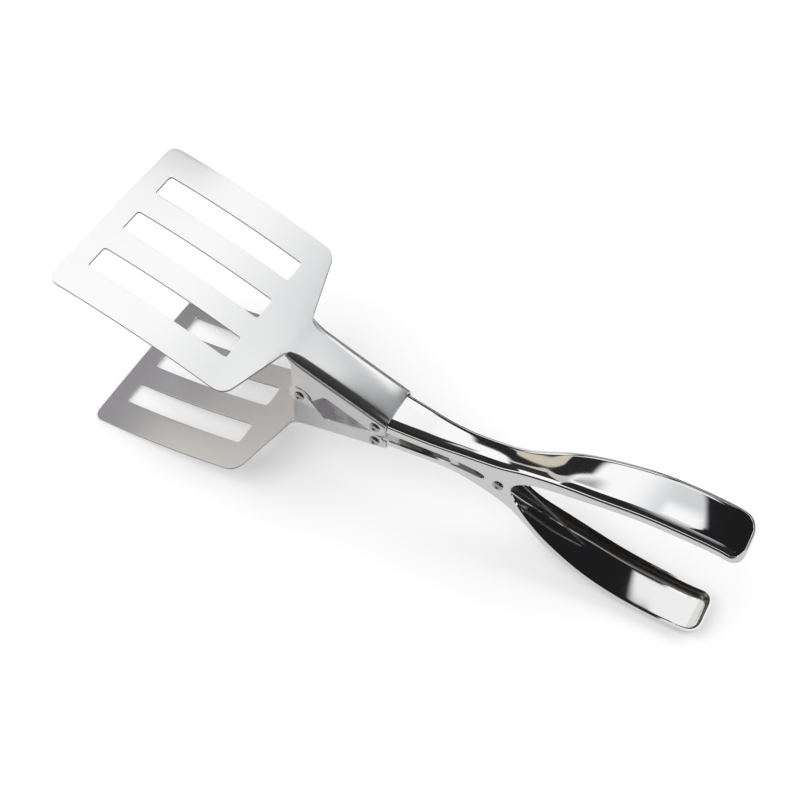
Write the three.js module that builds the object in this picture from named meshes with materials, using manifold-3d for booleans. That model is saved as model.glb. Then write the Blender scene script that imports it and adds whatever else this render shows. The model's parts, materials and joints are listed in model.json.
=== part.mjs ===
// Spatula tongs of stainless steel sheet: two slotted plates, worked by two channel handles
// through a four-bar linkage, with a torsion spring that holds them open.
import * as THREE from 'three';
import { mergeVertices } from 'three/addons/utils/BufferGeometryUtils.js';
import Module from 'manifold-3d';

const wasm = await Module();
wasm.setup();

// Sizes in millimetres. The linkage frame has its origin on the handle pin, x towards the
// plates, z up through the upper plate and y towards the near side.
const headSheet = 1.0;
const handleSheet = 0.9;
const seatGap = 0.3;
const waistGap = 0.36;
const cutOverrun = 2.0;
const weldReach = 0.0001;

// Linkage: the handle pin, the link rivets that join each handle to its head, the head rivets
const linkReach = 58.9;
const linkRise = 5.6;
const headPivotReach = 98.1;

// Plates
const plateWidth = 90.0;
const plateLength = 98.6;
const plateTipRise = 54.6;
const plateTipBow = 0.6;
const plateRootRun = 2.9;
const plateRootRise = 27.3;
const plateBow = 3.6;
const plateFlareRun = 3.3;
const rootTurnReach = 5.0;
const plateShoulderRun = 9.1;
const plateTipRadius = 5.0;
const plateShoulderRadius = 6.0;

// Slots in each plate
const slotCount = 3;
const slotWidth = 11.8;
const slotPitch = 24.1;
const slotStartRun = 8.1;
const slotEndRun = 9.7;
const slotCornerRadius = 1.6;

// Neck of each head, a channel whose side walls run down into the pivot ears
const neckHalfWidth = 11.7;
const neckEndRun = 5.2;
const neckEndRise = 11.6;
const neckShoulderRadius = 4.8;
const earFrontRun = 3.4;
const earCornerRadius = 3.0;
const headEarRadius = 5.8;
const notchRun = 13.6;
const notchRise = 9.6;
const notchRadius = 2.5;
const dishRadius = 7.2;
const leastShoulder = 0.25;

// Handles
const gripReach = 102.5;
const gripHalfWidth = 11.5;
const gripCrownRise = 40.6;
const upperGripLift = 4.5;
const gripEndRadius = 5.8;
const gripEndRun = 11.0;
const gripEndDrop = 5.0;
const handleShoulderRadius = 4.0;
const crownDome = 0.5;
const upperWaistHalfWidth = 6.95;
const lowerWaistHalfWidth = upperWaistHalfWidth - handleSheet - waistGap;
const wallRise = 3.4;
const pinEarRadius = 6.0;
const pinEarBlendReach = 12.0;
const linkEarRadius = 3.8;
const crownCutShare = 0.95;

// Handle form: share of the reach, share of the widening from the waist, share of the rise
const frontShares = [
  [1.1, 1.0, 0.25], [0.92, 0.97, 0.25], [0.68, 0.6, 0.247], [0.54, 0.36, 0.249], [0.34, 0.06, 0.281],
  [0.17, 0.0, 0.333],
];
const rearShares = [
  [0.0, 0.0, 0.4], [0.07, 0.0, 0.478], [0.13, 0.16, 0.558], [0.27, 0.6, 0.749], [0.43, 0.88, 0.88],
  [0.6, 0.98, 0.978], [0.76, 1.0, 1.0], [0.89, 0.97, 0.985], [1.0, 0.93, 0.94],
];
// Rim of the grip: share of the grip's reach, share of its rise
const rimShares = [
  [0.08, 0.2], [0.15, 0.375], [0.26, 0.54], [0.45, 0.73], [0.61, 0.82], [0.77, 0.845], [0.9, 0.83],
  [1.0, 0.77],
];

// Rivets and the handle pin
const rivetRadius = 1.5;
const pinRadius = 1.8;
const rivetHeadRadius = 2.5;
const rivetHeadHeight = 0.7;
const rivetDimpleRadius = 1.2;
const rivetDimpleDepth = 0.6;
const rivetDimpleFloorShare = 0.7;
const rivetRimShare = 0.35;
const rivetCrownShare = 0.72;
const rivetCrownDropShare = 0.1;
const openPivotGap = 0.6;

// Torsion spring round the handle pin
const wireRadius = 0.6;
const coilRadius = 3.1;
const coilTurns = 4;
const coilPitch = 1.75;
const springReach = 42.0;

// Resolution
const plateSteps = 12;
const tipSteps = 5;
const arcSteps = 4;
const crownSteps = 4;
const gripSteps = 20;
const frontSteps = 10;
const endSteps = 6;
const neckSteps = 6;
const roundSteps = 16;
const coilSteps = 8;
const wireSides = 5;

const plateRootReach = headPivotReach + plateRootRun;
const plateTipReach = plateRootReach + plateLength;
const plateFlareReach = plateRootReach + plateFlareRun;
const plateShoulderReach = plateFlareReach + plateShoulderRun;
const slotStartReach = plateShoulderReach + slotStartRun;
const slotEndReach = plateTipReach - slotEndRun;
const neckEndReach = linkReach - neckEndRun;
const earFrontReach = headPivotReach + earFrontRun;
const notchReach = headPivotReach - notchRun;
const linkPivot = new THREE.Vector2(linkReach, linkRise);
const headPivot = new THREE.Vector2(headPivotReach, 0);
const handlePivot = new THREE.Vector2(0, 0);
const linkEarOuter = linkRise - seatGap / 2;
const handleFrontHalfWidth = neckHalfWidth - headSheet - seatGap;
const high = gripCrownRise + plateTipRise;
const upperHandle = { waist: upperWaistHalfWidth, lift: upperGripLift };
const lowerHandle = { waist: lowerWaistHalfWidth, lift: 0 };

// Solids from geometry and back
function toSolid(geometry) {
  const bare = geometry.clone();
  for (const name of Object.keys(bare.attributes)) {
    if (name !== 'position') bare.deleteAttribute(name);
  }
  const merged = mergeVertices(bare, weldReach);
  return new wasm.Manifold(new wasm.Mesh({
    numProp: 3,
    vertProperties: new Float32Array(merged.attributes.position.array),
    triVerts: new Uint32Array(merged.index.array),
  }));
}

function toGeometry(solid) {
  const mesh = solid.getMesh();
  const geometry = new THREE.BufferGeometry();
  geometry.setAttribute('position', new THREE.BufferAttribute(mesh.vertProperties, 3));
  geometry.setIndex(new THREE.BufferAttribute(mesh.triVerts, 1));
  return geometry;
}

// The same piece turned over: a mirror image in the plane z = 0
function mirrored(geometry) {
  const flipped = geometry.clone().scale(1, 1, -1);
  const index = flipped.index.array;
  for (let i = 0; i < index.length; i += 3) {
    [index[i], index[i + 1]] = [index[i + 1], index[i]];
  }
  return flipped;
}

// A side outline in x and z, extruded across y
function sidePrism(shape, fromY, toY) {
  const prism = new THREE.ExtrudeGeometry(shape, {
    depth: toY - fromY, bevelEnabled: false, curveSegments: arcSteps * 2,
  });
  return toSolid(prism.rotateX(Math.PI / 2).translate(0, toY, 0));
}

// A plan outline in x and y, extruded up z
function planPrism(shape, fromZ, toZ) {
  const prism = new THREE.ExtrudeGeometry(shape, {
    depth: toZ - fromZ, bevelEnabled: false, curveSegments: arcSteps,
  });
  return toSolid(prism.translate(0, 0, fromZ));
}

// A round bar across y, centred on a pivot
function crossBar(pivot, radius, fromY, toY) {
  const bar = new THREE.CylinderGeometry(radius, radius, toY - fromY, roundSteps);
  return toSolid(bar.translate(pivot.x, (fromY + toY) / 2, pivot.y));
}

// A closed polygon with each corner rounded by its own radius
function roundedShape(corners) {
  const shape = new THREE.Shape();
  corners.forEach(([x, y, radius], i) => {
    const here = new THREE.Vector2(x, y);
    const before = new THREE.Vector2(...corners[(i + corners.length - 1) % corners.length]);
    const after = new THREE.Vector2(...corners[(i + 1) % corners.length]);
    const inward = before.sub(here).normalize().multiplyScalar(radius).add(here);
    const outward = after.sub(here).normalize().multiplyScalar(radius).add(here);
    if (i === 0) shape.moveTo(inward.x, inward.y);
    else shape.lineTo(inward.x, inward.y);
    if (radius > 0) shape.quadraticCurveTo(x, y, outward.x, outward.y);
  });
  shape.closePath();
  return shape;
}

// Sections of points in y and z, joined along x into one solid with flat ends
function loft(stations) {
  const count = stations[0].section.length;
  const position = [];
  const index = [];
  for (const { x, section } of stations) {
    for (const point of section) position.push(x, point.x, point.y);
  }
  for (let i = 0; i < stations.length - 1; i += 1) {
    for (let j = 0; j < count; j += 1) {
      const a = i * count + j;
      const b = i * count + ((j + 1) % count);
      index.push(a, b, a + count, b, b + count, a + count);
    }
  }
  const last = (stations.length - 1) * count;
  for (let j = 1; j < count - 1; j += 1) {
    index.push(0, j + 1, j, last, last + j, last + j + 1);
  }
  const geometry = new THREE.BufferGeometry();
  geometry.setAttribute('position', new THREE.Float32BufferAttribute(position, 3));
  geometry.setIndex(index);
  return toSolid(geometry);
}

// Section of a channel: walls up to round shoulders under a slightly domed crown
function archSection(halfWidth, top, bottom, shoulder, dome) {
  const radius = Math.min(shoulder, halfWidth);
  const points = [new THREE.Vector2(halfWidth, bottom)];
  for (let i = 0; i <= arcSteps; i += 1) {
    const angle = (i / arcSteps) * (Math.PI / 2);
    points.push(new THREE.Vector2(
      halfWidth - radius + radius * Math.cos(angle), top - radius + radius * Math.sin(angle),
    ));
  }
  for (let i = 1; i < crownSteps; i += 1) {
    points.push(new THREE.Vector2((halfWidth - radius) * (1 - (2 * i) / crownSteps), top));
  }
  for (let i = arcSteps; i >= 0; i -= 1) {
    const angle = (i / arcSteps) * (Math.PI / 2);
    points.push(new THREE.Vector2(
      -halfWidth + radius - radius * Math.cos(angle), top - radius + radius * Math.sin(angle),
    ));
  }
  points.push(new THREE.Vector2(-halfWidth, bottom));
  for (const point of points) {
    if (point.y > bottom) point.y -= dome * (point.x / halfWidth) ** 2;
  }
  return points;
}

// Smooth curve through rows of [x, value, value...], with x rising
function curveThrough(rows) {
  const slope = (k, column) => {
    const low = rows[Math.max(k - 1, 0)];
    const up = rows[Math.min(k + 1, rows.length - 1)];
    return (up[column] - low[column]) / (up[0] - low[0]);
  };
  return (x, column) => {
    let k = 0;
    while (k < rows.length - 2 && x > rows[k + 1][0]) k += 1;
    const [here, next] = [rows[k], rows[k + 1]];
    const span = next[0] - here[0];
    const t = Math.min(Math.max((x - here[0]) / span, 0), 1);
    const blend = t * t * (3 - 2 * t);
    const leave = t * (1 - t) * (1 - t) * span * slope(k, column);
    const arrive = t * t * (1 - t) * span * slope(k + 1, column);
    return here[column] * (1 - blend) + next[column] * blend + leave - arrive;
  };
}

// Top line of a head: a straight neck that turns smoothly into the bowed plate
function headTop(x) {
  const past = x - plateRootReach;
  const neckSlope = (plateRootRise - neckEndRise) / (plateRootReach - neckEndReach);
  const plateSlope = (plateTipRise - plateRootRise + 4 * plateBow) / plateLength;
  const inTurn = Math.min(Math.max(past + rootTurnReach, 0), 2 * rootTurnReach);
  const turned = inTurn ** 2 / (4 * rootTurnReach) + Math.max(past - rootTurnReach, 0);
  const bow = 4 * plateBow * (Math.max(past, 0) / plateLength) ** 2;
  return plateRootRise + neckSlope * past + (plateSlope - neckSlope) * turned - bow;
}

// The slotted plate, cut to its outline out of a bowed strip
function plateSolid() {
  const start = plateRootReach;
  const reaches = [start];
  for (let i = 0; i <= plateSteps; i += 1) {
    reaches.push(plateFlareReach + ((plateTipReach + cutOverrun - plateFlareReach) * i) / plateSteps);
  }
  const stations = [];
  for (const x of reaches) {
    const half = plateWidth / 2 + cutOverrun;
    const top = headTop(x);
    stations.push({ x, section: [
      new THREE.Vector2(half, top), new THREE.Vector2(-half, top),
      new THREE.Vector2(-half, top - headSheet), new THREE.Vector2(half, top - headSheet),
    ] });
  }
  const half = plateWidth / 2;
  const rootHalf = neckHalfWidth - neckShoulderRadius;
  const tip = [];
  for (let i = 1 - tipSteps; i < tipSteps; i += 1) {
    const share = i / tipSteps;
    tip.push([plateTipReach - plateTipBow * share ** 2, share * half, 0]);
  }
  const outline = roundedShape([
    [start, -rootHalf, 0],
    [plateFlareReach, -neckHalfWidth, 0],
    [plateShoulderReach, -half, plateShoulderRadius],
    [plateTipReach - plateTipBow, -half, plateTipRadius],
    ...tip,
    [plateTipReach - plateTipBow, half, plateTipRadius],
    [plateShoulderReach, half, plateShoulderRadius],
    [plateFlareReach, neckHalfWidth, 0],
    [start, rootHalf, 0],
  ]);
  let plate = loft(stations).intersect(planPrism(outline, 0, high));
  for (let i = 0; i < slotCount; i += 1) {
    const middle = (i - (slotCount - 1) / 2) * slotPitch;
    const low = middle - slotWidth / 2;
    const up = middle + slotWidth / 2;
    const slot = roundedShape([
      [slotStartReach, low, slotCornerRadius], [slotEndReach, low, slotCornerRadius],
      [slotEndReach, up, slotCornerRadius], [slotStartReach, up, slotCornerRadius],
    ]);
    plate = plate.subtract(planPrism(slot, 0, high));
  }
  return plate;
}

// The neck's channel, its shoulders drawn tight where it opens into the plate
function neckStations(inset) {
  const stations = [];
  const front = plateFlareReach + (inset > 0 ? cutOverrun : 0);
  const rear = neckEndReach - (inset > 0 ? cutOverrun : 0);
  const straight = plateRootReach - neckShoulderRadius;
  const reaches = [rear];
  for (let i = 0; i <= neckSteps; i += 1) {
    reaches.push(straight + ((front - straight) * i) / neckSteps);
  }
  for (const x of reaches) {
    const open = Math.max((x - straight) / (plateFlareReach - straight), 0);
    const shoulder = neckShoulderRadius + (headSheet - neckShoulderRadius) * Math.min(open, 1) ** 2;
    const radius = Math.max(shoulder - inset, leastShoulder);
    const bottom = -headEarRadius - (inset > 0 ? cutOverrun : 0);
    const section = archSection(neckHalfWidth - inset, headTop(x) - inset, bottom, radius, 0);
    stations.push({ x, section });
  }
  return stations;
}

// Side outline of a head: the ears round the link rivet and the head rivet
function headBlank() {
  const shape = new THREE.Shape();
  const lobe = linkEarOuter;
  const rise = Math.atan2(notchRise - linkPivot.y, notchReach - linkPivot.x);
  const lean = rise - Math.asin(lobe / Math.hypot(notchReach - linkPivot.x, notchRise - linkPivot.y));
  const fall = Math.atan2(notchRise, notchReach - headPivot.x);
  const tilt = fall + Math.asin(headEarRadius / Math.hypot(notchRise, notchReach - headPivot.x));
  shape.moveTo(neckEndReach, high);
  shape.lineTo(neckEndReach, linkPivot.y);
  shape.absarc(linkPivot.x, linkPivot.y, lobe, Math.PI, lean + 1.5 * Math.PI, false);
  const toNotch = new THREE.Vector2(notchReach, notchRise);
  const before = new THREE.Vector2(
    linkPivot.x + lobe * Math.sin(lean), linkPivot.y - lobe * Math.cos(lean),
  ).sub(toNotch).normalize().multiplyScalar(notchRadius).add(toNotch);
  const after = new THREE.Vector2(
    headPivot.x - headEarRadius * Math.sin(tilt), headPivot.y + headEarRadius * Math.cos(tilt),
  ).sub(toNotch).normalize().multiplyScalar(notchRadius).add(toNotch);
  shape.lineTo(before.x, before.y);
  shape.quadraticCurveTo(notchReach, notchRise, after.x, after.y);
  const frontAngle = Math.acos((earFrontReach - headPivot.x) / headEarRadius);
  shape.absarc(
    headPivot.x, headPivot.y, headEarRadius, tilt + Math.PI / 2, frontAngle + 2 * Math.PI, false,
  );
  const flareRise = headTop(plateFlareReach) - neckShoulderRadius;
  shape.lineTo(earFrontReach, flareRise - earCornerRadius);
  shape.quadraticCurveTo(earFrontReach, flareRise, plateFlareReach, flareRise + earCornerRadius);
  shape.lineTo(plateFlareReach, high);
  shape.closePath();
  return shape;
}

// A head; the upper one is dished round the head rivet, so that the lower ear seats over it
function headGeometry(dished) {
  const outer = neckHalfWidth;
  const inner = neckHalfWidth - headSheet;
  const channel = loft(neckStations(0)).subtract(loft(neckStations(headSheet)));
  let head = channel.intersect(sidePrism(headBlank(), -outer - cutOverrun, outer + cutOverrun));
  head = head.add(plateSolid());
  const step = headSheet + seatGap;
  for (const side of [-1, 1]) {
    const span = (from, to) => [Math.min(side * from, side * to), Math.max(side * from, side * to)];
    if (dished) {
      const wall = crossBar(headPivot, dishRadius + headSheet, ...span(inner - step, outer));
      const blank = sidePrism(headBlank(), ...span(inner - step, outer));
      const room = crossBar(headPivot, dishRadius, ...span(inner - seatGap, outer + cutOverrun));
      head = head.add(wall.intersect(blank)).subtract(room);
    }
    const pivotGap = dished ? seatGap : openPivotGap;
    const across = span(inner - 2 * step, outer + cutOverrun);
    head = head.subtract(crossBar(headPivot, rivetRadius + pivotGap, ...across));
    head = head.subtract(crossBar(linkPivot, rivetRadius + seatGap, ...across));
  }
  return toGeometry(head);
}

// Width and crown of a handle against x
function handleForm({ waist, lift }) {
  const rows = [];
  for (const [reach, widen, rise] of rearShares) {
    const width = waist + widen * (gripHalfWidth - waist);
    rows.push([-reach * gripReach, width, rise * gripCrownRise + lift * reach ** 2]);
  }
  rows.reverse();
  for (const [reach, widen, rise] of [...frontShares].reverse()) {
    const width = waist + widen * (handleFrontHalfWidth - waist);
    rows.push([reach * linkReach, width, rise * gripCrownRise]);
  }
  return curveThrough(rows);
}

// Stations of a handle's skin, drawn in by the inset and rounded at the closed grip end
function handleStations(form, inset) {
  const stations = [];
  const end = -gripReach + inset;
  const corner = gripEndRadius - inset;
  const run = gripEndRun - inset;
  const front = frontShares[0][0] * linkReach + (inset > 0 ? cutOverrun : 0);
  const reaches = [];
  for (let i = 0; i <= endSteps; i += 1) {
    reaches.push(end + run * (1 - Math.cos((i / endSteps) * (Math.PI / 2))));
  }
  for (let i = 1; i <= gripSteps; i += 1) reaches.push((end + run) * (1 - i / gripSteps));
  for (let i = 1; i <= frontSteps; i += 1) reaches.push((front * i) / frontSteps);
  const bottom = -pinEarRadius - cutOverrun - (inset > 0 ? cutOverrun : 0);
  for (const x of reaches) {
    const near = corner - Math.min(x - end, corner);
    const drawIn = corner - Math.sqrt(corner ** 2 - near ** 2);
    const close = 1 - Math.min((x - end) / run, 1);
    const drop = gripEndDrop * (1 - Math.sqrt(1 - close ** 2));
    const halfWidth = form(x, 1) - inset - drawIn;
    const top = form(x, 2) - inset - drop;
    const section = archSection(halfWidth, top, bottom, handleShoulderRadius - inset, crownDome);
    stations.push({ x, section });
  }
  return stations;
}

// Side outline of a handle: link ear, wall, pin ear and the rim of the grip
function handleBlank({ lift }) {
  const shape = new THREE.Shape();
  const linkDrop = Math.asin((linkPivot.y - wallRise) / linkEarRadius);
  shape.moveTo(frontShares[0][0] * linkReach, high);
  shape.lineTo(frontShares[0][0] * linkReach, linkPivot.y);
  shape.lineTo(linkPivot.x + linkEarRadius, linkPivot.y);
  shape.absarc(linkPivot.x, linkPivot.y, linkEarRadius, 0, Math.PI + linkDrop, true);
  shape.lineTo(pinEarBlendReach, wallRise);
  shape.quadraticCurveTo(pinEarRadius, wallRise, pinEarRadius, 0);
  shape.absarc(0, 0, pinEarRadius, 0, Math.PI, true);
  const rim = [];
  for (const [reach, rise] of rimShares) {
    rim.push(new THREE.Vector2(-reach * gripReach, rise * gripCrownRise + lift * reach ** 2));
  }
  shape.lineTo(-pinEarRadius, wallRise);
  shape.splineThru(rim);
  shape.lineTo(-gripReach - cutOverrun, rim.at(-1).y);
  shape.lineTo(-gripReach - cutOverrun, high);
  shape.closePath();
  return shape;
}

function handleGeometry(sizes) {
  const form = handleForm(sizes);
  const reach = gripHalfWidth + cutOverrun;
  const inner = handleFrontHalfWidth - handleSheet;
  let handle = loft(handleStations(form, 0)).subtract(loft(handleStations(form, handleSheet)));
  handle = handle.intersect(sidePrism(handleBlank(sizes), -reach, reach));
  const cut = crownCutShare * linkReach;
  const clear = roundedShape([
    [cut, -high, 0], [cut + high, -high, 0], [cut + high, high, 0], [cut, high, 0],
  ]);
  handle = handle.subtract(sidePrism(clear, -reach, reach));
  for (const side of [-1, 1]) {
    const span = [Math.min(side * inner, side * handleFrontHalfWidth)];
    span.push(span[0] + handleSheet);
    handle = handle.add(crossBar(linkPivot, linkEarRadius, ...span));
  }
  handle = handle.subtract(crossBar(linkPivot, rivetRadius + seatGap, -reach, reach));
  handle = handle.subtract(crossBar(handlePivot, pinRadius + seatGap, -reach, reach));
  return toGeometry(handle);
}

// Round fastener across y between two seats, headed at both ends, dimpled where stated
function rivetGeometry(pivot, radius, fromY, toY, dimples) {
  const rimHeight = rivetRimShare * rivetHeadHeight;
  const half = (toY - fromY) / 2;
  const end = (sign, dimpled) => {
    const crown = sign * (half + rivetHeadHeight);
    const points = dimpled
      ? [[0, sign * (half + rivetHeadHeight - rivetDimpleDepth)],
        [rivetDimpleRadius * rivetDimpleFloorShare, sign * (half + rivetHeadHeight - rivetDimpleDepth)],
        [rivetDimpleRadius, crown]]
      : [[0, crown]];
    points.push([rivetHeadRadius * rivetCrownShare, crown - sign * rivetHeadHeight * rivetCrownDropShare]);
    points.push([rivetHeadRadius, sign * (half + rimHeight)], [rivetHeadRadius, sign * half]);
    points.push([radius, sign * half]);
    return points;
  };
  const profile = [...end(-1, dimples[0]), ...end(1, dimples[1]).reverse()];
  const rivet = new THREE.LatheGeometry(profile.map(([r, y]) => new THREE.Vector2(r, y)), roundSteps);
  return toGeometry(toSolid(rivet.translate(pivot.x, (fromY + toY) / 2, pivot.y)));
}

// The wire's centre line: leg, coil and leg as one run
function springPath(form) {
  const tipRise = form(-springReach, 2) - handleSheet - crownDome - seatGap - 2 * wireRadius;
  const distance = Math.hypot(springReach, tipRise);
  const touch = Math.atan2(tipRise, -springReach) - Math.acos(coilRadius / distance);
  const turn = 2 * touch + 2 * Math.PI * coilTurns;
  const width = (coilPitch * turn) / (2 * Math.PI);
  const points = [new THREE.Vector3(-springReach, -width / 2, -tipRise)];
  const steps = Math.round((turn / (2 * Math.PI)) * coilSteps);
  for (let i = 0; i <= steps; i += 1) {
    const angle = -touch + (turn * i) / steps;
    points.push(new THREE.Vector3(
      coilRadius * Math.cos(angle), -width / 2 + (width * i) / steps, coilRadius * Math.sin(angle),
    ));
  }
  points.push(new THREE.Vector3(-springReach, width / 2, tipRise));
  return points;
}

// Least gap of the wire to itself, measured between points that are over half a turn apart
function wireGap(points) {
  const dense = new THREE.CurvePath();
  for (let i = 1; i < points.length; i += 1) dense.add(new THREE.LineCurve3(points[i - 1], points[i]));
  const samples = dense.getSpacedPoints(points.length * coilSteps);
  const apart = Math.PI * coilRadius;
  const pace = dense.getLength() / (samples.length - 1);
  let least = Infinity;
  for (let i = 0; i < samples.length; i += 1) {
    for (let j = i + Math.ceil(apart / pace); j < samples.length; j += 1) {
      least = Math.min(least, samples[i].distanceTo(samples[j]));
    }
  }
  return least - 2 * wireRadius;
}

// A wire with flat ends along a run of points, its rings carried round without a twist
function wireGeometry(points) {
  const position = [];
  const index = [];
  let side = new THREE.Vector3(0, 1, 0);
  points.forEach((point, i) => {
    const back = points[Math.max(i - 1, 0)];
    const ahead = points[Math.min(i + 1, points.length - 1)];
    const along = ahead.clone().sub(point).normalize().add(point.clone().sub(back).normalize()).normalize();
    side = side.sub(along.clone().multiplyScalar(side.dot(along))).normalize();
    const over = along.clone().cross(side);
    for (let j = 0; j < wireSides; j += 1) {
      const angle = (2 * Math.PI * j) / wireSides;
      const spot = point.clone()
        .addScaledVector(side, wireRadius * Math.cos(angle))
        .addScaledVector(over, wireRadius * Math.sin(angle));
      position.push(spot.x, spot.y, spot.z);
    }
  });
  for (let i = 0; i < points.length - 1; i += 1) {
    for (let j = 0; j < wireSides; j += 1) {
      const a = i * wireSides + j;
      const b = i * wireSides + ((j + 1) % wireSides);
      index.push(a, b, a + wireSides, b, b + wireSides, a + wireSides);
    }
  }
  const last = (points.length - 1) * wireSides;
  for (let j = 1; j < wireSides - 1; j += 1) {
    index.push(0, j + 1, j, last, last + j, last + j + 1);
  }
  const geometry = new THREE.BufferGeometry();
  geometry.setAttribute('position', new THREE.Float32BufferAttribute(position, 3));
  geometry.setIndex(index);
  return geometry;
}

// Steel finishes: colour and roughness
const satinSteel = { color: 0xc6c6c8, roughness: 0.34 };
const polishedSteel = { color: 0xd6d6d8, roughness: 0.08 };
const rivetSteel = { color: 0xbfbfc2, roughness: 0.22 };
const springSteel = { color: 0xc2c4c8, roughness: 0.18 };

// Assembly in the linkage frame, each piece with a finish of its own
const linkage = new THREE.Group();
function addPiece(name, geometry, finish) {
  const mesh = new THREE.Mesh(geometry, new THREE.MeshStandardMaterial({ ...finish, metalness: 1 }));
  mesh.name = name;
  linkage.add(mesh);
}
addPiece('upper_head', headGeometry(true), satinSteel);
addPiece('lower_head', mirrored(headGeometry(false)), satinSteel);
addPiece('upper_handle', handleGeometry(upperHandle), polishedSteel);
addPiece('lower_handle', mirrored(handleGeometry(lowerHandle)), polishedSteel);

const rivetOuter = neckHalfWidth + seatGap;
const linkInner = handleFrontHalfWidth - handleSheet - seatGap;
const headInner = neckHalfWidth - 2 * headSheet - 2 * seatGap;
const lowerLinkPivot = new THREE.Vector2(linkPivot.x, -linkPivot.y);
for (const [name, pivot, inside] of [
  ['upper_link_rivet', linkPivot, linkInner],
  ['lower_link_rivet', lowerLinkPivot, linkInner],
  ['head_rivet', headPivot, headInner],
]) {
  const near = rivetGeometry(pivot, rivetRadius, inside, rivetOuter, [false, true]);
  const far = rivetGeometry(pivot, rivetRadius, -rivetOuter, -inside, [true, false]);
  addPiece(`${name}_near`, near, rivetSteel);
  addPiece(`${name}_far`, far, rivetSteel);
}
const pinSeat = upperWaistHalfWidth + seatGap;
addPiece('handle_pin', rivetGeometry(handlePivot, pinRadius, -pinSeat, pinSeat, [true, true]), rivetSteel);

const lowerForm = handleForm(lowerHandle);
const wire = springPath(lowerForm);
console.log(`torsion spring: least gap of the wire to itself ${wireGap(wire).toFixed(2)} mm`);
addPiece('torsion_spring', wireGeometry(wire), springSteel);

// The tongs stand on the tip of the lower plate and the belly of the lower grip, handles to +x
let restSlope = Infinity;
for (let i = 1; i <= gripSteps; i += 1) {
  const x = (-gripReach * i) / gripSteps;
  restSlope = Math.min(restSlope, (plateTipRise - lowerForm(x, 2)) / (plateTipReach - x));
}
linkage.rotation.set(0, Math.atan(restSlope), Math.PI, 'YXZ');
const tongs = new THREE.Group();
tongs.add(linkage);
tongs.updateMatrixWorld(true);
const box = new THREE.Box3().setFromObject(tongs, true);
const centre = box.getCenter(new THREE.Vector3());
linkage.position.set(-centre.x, -centre.y, -box.min.z);

export default tongs;
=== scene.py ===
"""Spatula tongs of stainless steel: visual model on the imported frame.

The pieces are drawn in millimetres in the linkage frame: its origin is on the handle pin, x
runs towards the plates, y to the near side and z up. Each piece is drawn with its crown up.
LINKAGE then sets it into the row's frame in metres.
"""
import json
import math

import bpy
from mathutils import Matrix, Vector


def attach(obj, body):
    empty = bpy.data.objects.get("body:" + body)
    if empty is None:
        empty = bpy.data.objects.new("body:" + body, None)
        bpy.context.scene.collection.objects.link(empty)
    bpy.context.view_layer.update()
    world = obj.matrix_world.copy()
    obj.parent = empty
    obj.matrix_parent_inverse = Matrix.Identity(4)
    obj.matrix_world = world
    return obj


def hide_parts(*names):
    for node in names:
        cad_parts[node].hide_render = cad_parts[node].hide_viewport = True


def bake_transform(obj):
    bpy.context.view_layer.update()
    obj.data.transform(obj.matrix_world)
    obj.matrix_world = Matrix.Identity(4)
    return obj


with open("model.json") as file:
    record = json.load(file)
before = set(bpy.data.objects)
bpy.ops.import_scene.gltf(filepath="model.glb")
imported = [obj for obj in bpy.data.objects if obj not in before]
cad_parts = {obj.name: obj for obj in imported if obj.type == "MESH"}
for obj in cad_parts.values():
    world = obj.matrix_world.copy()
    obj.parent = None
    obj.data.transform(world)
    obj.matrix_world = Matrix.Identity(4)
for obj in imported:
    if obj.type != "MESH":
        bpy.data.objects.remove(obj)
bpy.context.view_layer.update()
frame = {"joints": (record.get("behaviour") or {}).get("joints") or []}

MM = 0.001

# camera solved on the photo's corner points
CAMERA_PLACE = Vector((145.499, -253.172, 494.267)) * MM
CAMERA_RIGHT = Vector((0.869341, 0.494111, -0.010049))
CAMERA_BACK = Vector((0.285780, -0.485976, 0.825945))
FOCAL_LENGTH = 54.08
SENSOR_WIDTH = 36
CAMERA_CLIP = 0.01

# heads: one stamped sheet each, a channel-shaped neck that runs out into a slotted plate
HEAD_SHEET = 1.0
SEAT_GAP = 0.3
HEAD_PIVOT = (98.1, 0.0)
PLATE_HALF = 45.0
PLATE_ROOT = 101.0
PLATE_TIP = 199.6
PLATE_FLARE = 104.3
PLATE_SHOULDER = 113.4
TIP_RISE = 54.6
TIP_BOW = 0.6
ROOT_RISE = 27.3
PLATE_BOW = 3.6
ROOT_TURN = 5.0
TURN_RUN_IN = 8
TIP_RADIUS = 5.0
SHOULDER_RADIUS = 6.0
SLOT_START = 121.5
SLOT_END = 189.9
SLOT_WIDTH = 11.8
SLOT_PITCH = 24.1
SLOT_RADIUS = 1.6
PLATE_RIM = 0.16
NECK_HALF = 11.7
NECK_END = 53.7
NECK_END_RISE = 11.6
NECK_SHOULDER = 4.8
NECK_DOME = 0.4
NECK_DOME_FADE = 12
NECK_MOUTH_SHOULDER = 1.6
EAR_FRONT = 101.5
EAR_CORNER = 3.0
HEAD_EAR = 5.8
NOTCH = (84.5, 9.6)
NOTCH_RADIUS = 2.5
DISH_RADIUS = 7.2
HEAD_RIVET_HOLE = 2.1

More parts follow.
